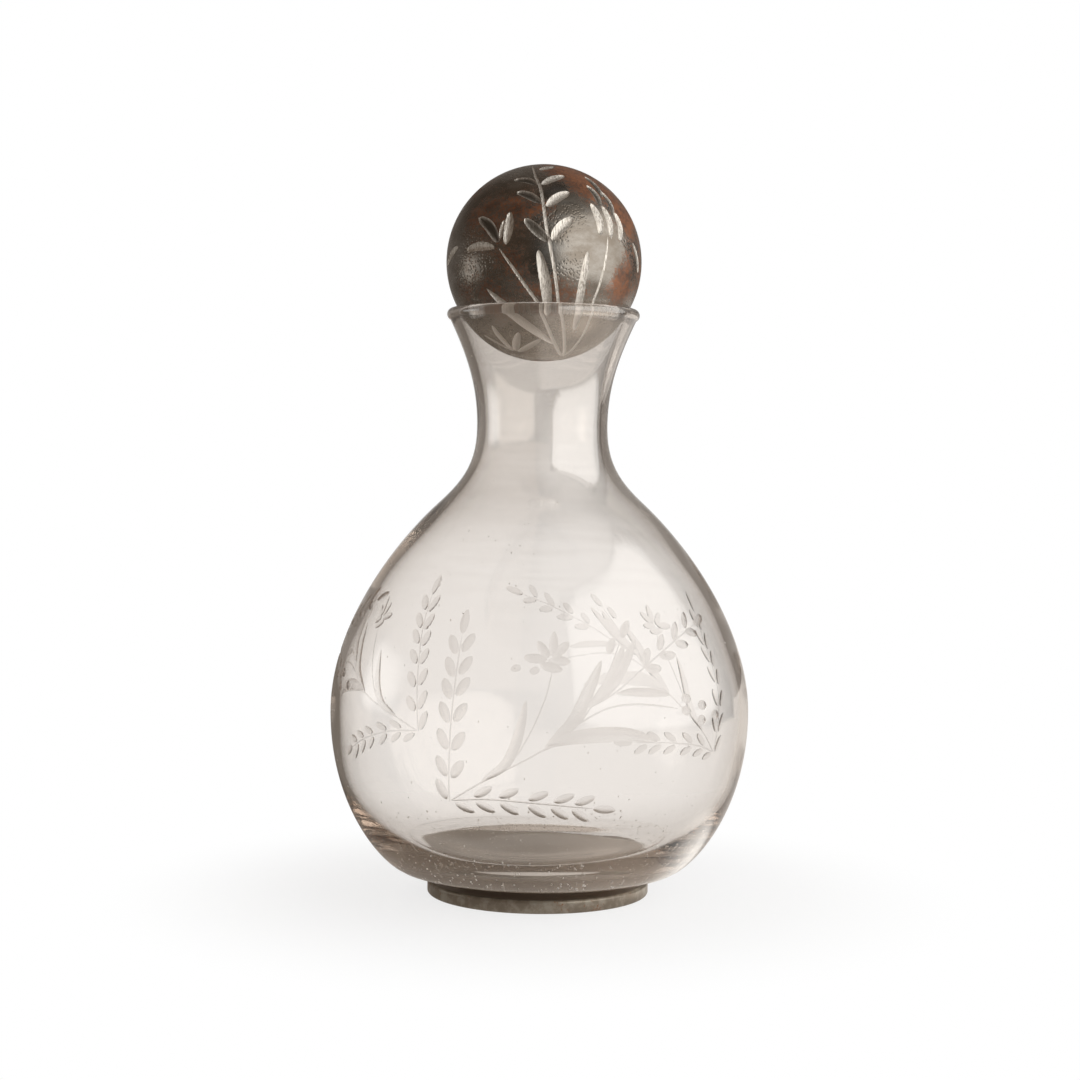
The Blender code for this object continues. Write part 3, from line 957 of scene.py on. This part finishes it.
def bronze_lustre():
    """Wiped bronze under copper clouds, painted lighter below with a painted
    highlight low on the front right, peeled and pitted in places, and gritty
    glass in the cuts, with painted shade in some leaves and painted light below."""
    material, wire = new_material("bronze_lustre")
    place = wire.node("TexCoord", output="Object")
    # The attribute clear holds painted shade: dark leaves with lighter rims
    cut, clear = wire.noted("cut"), wire.noted("clear")
    middle = place.vector("SUBTRACT", (0, 0, ball_height))
    cloud = wire.noise(place, 46, 4, 0.62)
    mottle = wire.noise(place, 650, 4, 0.75)
    speck = wire.noise(place, 1500, 2)
    drawn = wire.node("Mapping", {}, {"Vector": place, "Rotation": (0.1, 0.25, 0.0),
                                      "Scale": (1, 1, 1.8)})
    wipe = wire.noise(drawn, 90, 5, 0.66)
    fleck = wire.noise(place, 1300, 3, 0.8)
    outward = middle.vector("NORMALIZE")
    drift = cloud + 0.35 * mottle + 0.45 * fleck
    for heart, reach, strength in copper_clouds:
        apart = outward.vector("DISTANCE", heart, "Value")
        drift = drift + strength * apart.step(reach, 0.2 * reach)
    copper = drift.step(0.88, 1.14)
    # The lower part of the ball is painted lighter, with less copper and near-white cuts: painted
    # light
    low = middle.part("Z").step(-0.010, -0.024)
    ground = wipe.step(0.30, 0.80).blend(bronze_dark, bronze_grey)
    # A painted highlight patch, low on the front right
    pale = outward.vector("DISTANCE", painted_highlight_heart, "Value").step(0.26, 0.06)
    ground = low.blend(ground, pale.blend(painted_lower_light, painted_highlight_tone))
    flame = (0.5 * mottle + 0.5 * wipe).step(0.38, 0.62).blend(copper_dark, copper_bright)
    lustre = (copper * (1 - 0.7 * low)).blend(ground, flame)
    pits = wire.node("TexVoronoi", {"feature": "SMOOTH_F1"}, {"Vector": place, "Scale": 1100.0})
    peel = wire.noise(place, 60, 2).step(0.46, 0.56) * pits.step(0.05, 0.45)
    scratched = wire.node("Mapping", {}, {"Vector": place, "Scale": (1, 1, 0.10)})
    grit = wire.noise(scratched, 2000, 3, 0.75)
    bare = grit.step(0.36, 0.58).blend(bare_shade, bare_glass)
    # Dark leaves take painted shade, lighter at their rims; cuts low on the ball are painted near
    # white as painted light
    bare = low.blend(clear.blend(bare, painted_leaf_shade), painted_light_cut)
    relief = (1 - cut) * (0.2 * speck + 0.8 * peel) + 4.0 * cut * grit
    wire.finish(wire.node("BsdfPrincipled", {}, {
        "Base Color": cut.blend(lustre, bare),
        "Metallic": 1 - 0.65 * (1 - cut) * copper - 0.12 * cut,
        "Roughness": 0.25 + 0.20 * (1 - cut) * copper + 0.13 * cut,
        "Normal": relief.bump(0.4, 0.0003)}))
    return material


carved_side, plain_sides, leaf_shade = ball_surfaces()
ball_piece = carved_piece("cut_ball", carved_side, plain_sides, ball_height, bronze_lustre())
# The painted shade of the dark leaves goes on the carved corners
carved_corners = leaf_shade[carved_side[1].ravel()]
plain_corners = np.zeros(len(ball_piece.data.loops) - len(carved_corners))
note(ball_piece, "clear", "CORNER", np.concatenate([plain_corners, carved_corners]))
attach(ball_piece, "stopper")
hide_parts("ball_stopper")


# Stopper button
# The gather of glass that closes the hole where the blowing iron came off: a
# short tapered plug whose outer face follows the ball. The photograph hides it.

button_columns = 64


def button_outline():
    """Half section of the plug: the ball's own arc below, a tapered side, and a
    flat top inside the ball."""
    face_radius = blow_hole_radius - button_gap
    edge = -math.degrees(math.acos(face_radius / ball_radius))
    face = arc((0, ball_height), ball_radius, -90, edge, 10)
    face[0, 0] = 0
    face_depth = math.sqrt(ball_radius ** 2 - blow_hole_radius ** 2)
    top_depth = ball_radius - button_length
    top_radius = face_radius - (face_depth - top_depth) * math.tan(math.radians(button_taper))
    top = ball_height - top_depth
    side = np.linspace(face[-1], (top_radius, top), 6)
    return np.vstack([face, side[1:], [(top_radius / 2, top), (0, top)]])


def dark_lustre():
    """The ball's bronze, mottled with copper."""
    material, wire = new_material("button_glass")
    place = wire.node("TexCoord", output="Object")
    mottle = wire.noise(place, 420, 4, 0.7)
    colour = mottle.step(0.4, 0.7).blend(bronze_dark, copper_bright)
    wire.finish(wire.node("BsdfPrincipled", {}, {
        "Base Color": colour, "Metallic": 0.7, "Roughness": 0.2 + 0.2 * mottle,
        "Normal": mottle.bump(0.2, 0.0002)}))
    return material


button_shape = turned(button_outline(), button_columns)
button_piece = mesh_piece("blow_hole_button", *button_shape, dark_lustre())
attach(button_piece, "stopper")
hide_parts("stopper_button")


# Studio
# A floor and backdrop that are white to the eye and a darker room in reflections,
# a wide and a bright soft window to the right of the camera, a small one to its
# left, and the camera at the photograph's height.

# The camera is level and rolled by a lean in degrees. The photograph's size, its
# focal length, the bottle's axis and the horizon are in the photograph's pixels.
picture_size = 1080
focal_pixels = 2067.0
axis_pixel, horizon_pixel = 541.9, 466.0
camera_distance, camera_height, lean = 0.746, 0.1533, 0.6
white, paper_tone = (1, 1, 1, 1), (0.82, 0.82, 0.82, 1)
floor_radius = 3.0
floor_left, floor_right = (0.18, 0.155, 0.132, 1), (0.70, 0.65, 0.60, 1)
room_front, room_level = (0.20, 0.157, 0.126, 1), (0.25, 0.222, 0.198, 1)
room_upper_left, room_upper_right = (0.13, 0.105, 0.085, 1), (0.36, 0.33, 0.30, 1)
room_backdrop = (0.50, 0.48, 0.455, 1)
window_centre, window_tint = (0, 0, 0.13), (1, 0.985, 0.96)

# A bright card on the floor, seen only in what the outside of a piece mirrors: an
# oval, with its middle, turn and half widths
card_middle, card_turn, card_size = (0.082, 0.0, 0.0), math.radians(40), (0.034, 0.024, 1)
card_tone = (3.6, 3.45, 3.25, 1)


def straight_through(wire):
    """1 for what the camera sees directly or through glass, and 0 for all light
    that was reflected on its way, which shows the darker room instead."""
    camera_ray = wire.node("LightPath", output="Is Camera Ray")
    through = wire.node("LightPath", output="Is Transmission Ray")
    bounces = wire.node("LightPath", output="Glossy Depth")
    return wire.maths("MAXIMUM", camera_ray, through) * wire.maths("LESS_THAN", bounces, 0.5)


def studio_white():
    """Paper near the bottle, where it keeps the shadow, that turns to an even
    white further off."""
    material, wire = new_material("studio_floor")
    place = wire.node("TexCoord", output="Object")
    far = place.vector("LENGTH", output="Value").step(0.045, 0.16)
    paper = wire.node("BsdfDiffuse", {}, {"Color": paper_tone})
    tabletop = place.part("X").step(-0.10, 0.03).blend(floor_left, floor_right)
    inside_glass = wire.node("LightPath", output="Transmission Depth")
    mirrored = wire.node("LightPath", output="Glossy Depth")
    outer_glint = (wire.maths("LESS_THAN", inside_glass, 0.5)
                   * wire.maths("GREATER_THAN", mirrored, 0.5))
    on_card = place.in_oval(card_middle, card_turn, card_size).step(1.6, 0.2)
    tabletop = (outer_glint * on_card).blend(tabletop, card_tone)
    colour = straight_through(wire).blend(tabletop, white)
    glow = wire.node("Emission", {}, {"Color": colour})
    wire.finish(wire.node("MixShader", {}, {0: 0.78 + 0.22 * far, 1: paper, 2: glow}))
    return material


floor_shape = turned(np.array([(floor_radius, 0.0), (0.5, 0.0), (0.0, 0.0)]), 64)
floor_piece = mesh_piece("floor", *floor_shape, studio_white())

world = bpy.data.worlds.new("studio")
bpy.context.scene.world = world
world.use_nodes = True
world.node_tree.nodes.clear()
sky = Wire(world.node_tree)
direction = sky.node("TexCoord", output="Generated")
room_upper = direction.part("X").step(-0.6, 0.3).blend(room_upper_left, room_upper_right)
room = direction.part("Z").step(0.1, 0.6).blend(room_level, room_upper)
ahead = direction.part("Y")
room = ahead.step(0.0, 0.5).blend(room_front, room)
room = ahead.step(0.93, 1.0).blend(room, room_backdrop)
backdrop = sky.node("Background", {}, {"Color": straight_through(sky).blend(room, white)})
sky.node("OutputWorld", {}, {"Surface": backdrop})


def soft_window(name, turns, rises, distance, radiance, falloff):
    """A bowed pane of light round the bottle, from one turn to another to the
    right of the camera and from one rise to another, in degrees. Its light is
    radiance (0.9 - 0.1 u) (1 - u^4 - v^4)^falloff for u and v from -1 to 1 across
    it and up it. The camera looks through it."""
    u, v = np.meshgrid(np.linspace(-1, 1, 33), np.linspace(-1, 1, 25))
    turn = np.radians(turns[0] + (u + 1) / 2 * (turns[1] - turns[0]))
    rise = rises[0] + (v + 1) / 2 * (rises[1] - rises[0])
    pane = np.array(window_centre) + distance * swung(heading(rise), turn)
    rows, columns = u.shape
    faces = patch(pane)[1].reshape(rows - 1, columns, 4)[:, :-1].reshape(-1, 4)
    light = radiance * (0.9 - 0.1 * u) * np.clip(1 - u ** 4 - v ** 4, 0, 1) ** falloff
    material, wire = new_material(name)
    glow = wire.node("VectorMath", {"operation": "SCALE"},
                     {0: window_tint, "Scale": wire.noted("light")})
    wire.finish(wire.node("Emission", {}, {"Color": glow}))
    piece = mesh_piece(name, pane.reshape(-1, 3), faces, np.empty((0, 3), int), material)
    note(piece, "light", "POINT", light)
    piece.visible_camera = False


soft_window("wide_window", (-12, 125), (-12, 86), 0.56, 0.7, 1.5)
soft_window("bright_window", (16, 112), (-12, 54), 0.55, 2.35, 0.15)
soft_window("left_window", (-110, -78), (-8, 16), 0.60, 1.6, 1.0)

camera_data = bpy.data.cameras.new("camera")
camera_data.sensor_width = 36.0
camera_data.lens = focal_pixels / picture_size * camera_data.sensor_width
camera_data.shift_x = (picture_size / 2 - axis_pixel) / picture_size
camera_data.shift_y = (horizon_pixel - picture_size / 2) / picture_size
camera = bpy.data.objects.new("camera", camera_data)
bpy.context.scene.collection.objects.link(camera)
camera.location = (0, -camera_distance, camera_height)
camera.rotation_euler = (math.radians(90), math.radians(-lean), 0)
bpy.context.scene.camera = camera
bpy.context.scene.view_settings.view_transform = "Standard"

# Light in the thick heel is turned back many times before it leaves the glass
light_paths = bpy.context.scene.cycles
light_paths.max_bounces = light_paths.glossy_bounces = light_paths.transmission_bounces = 64
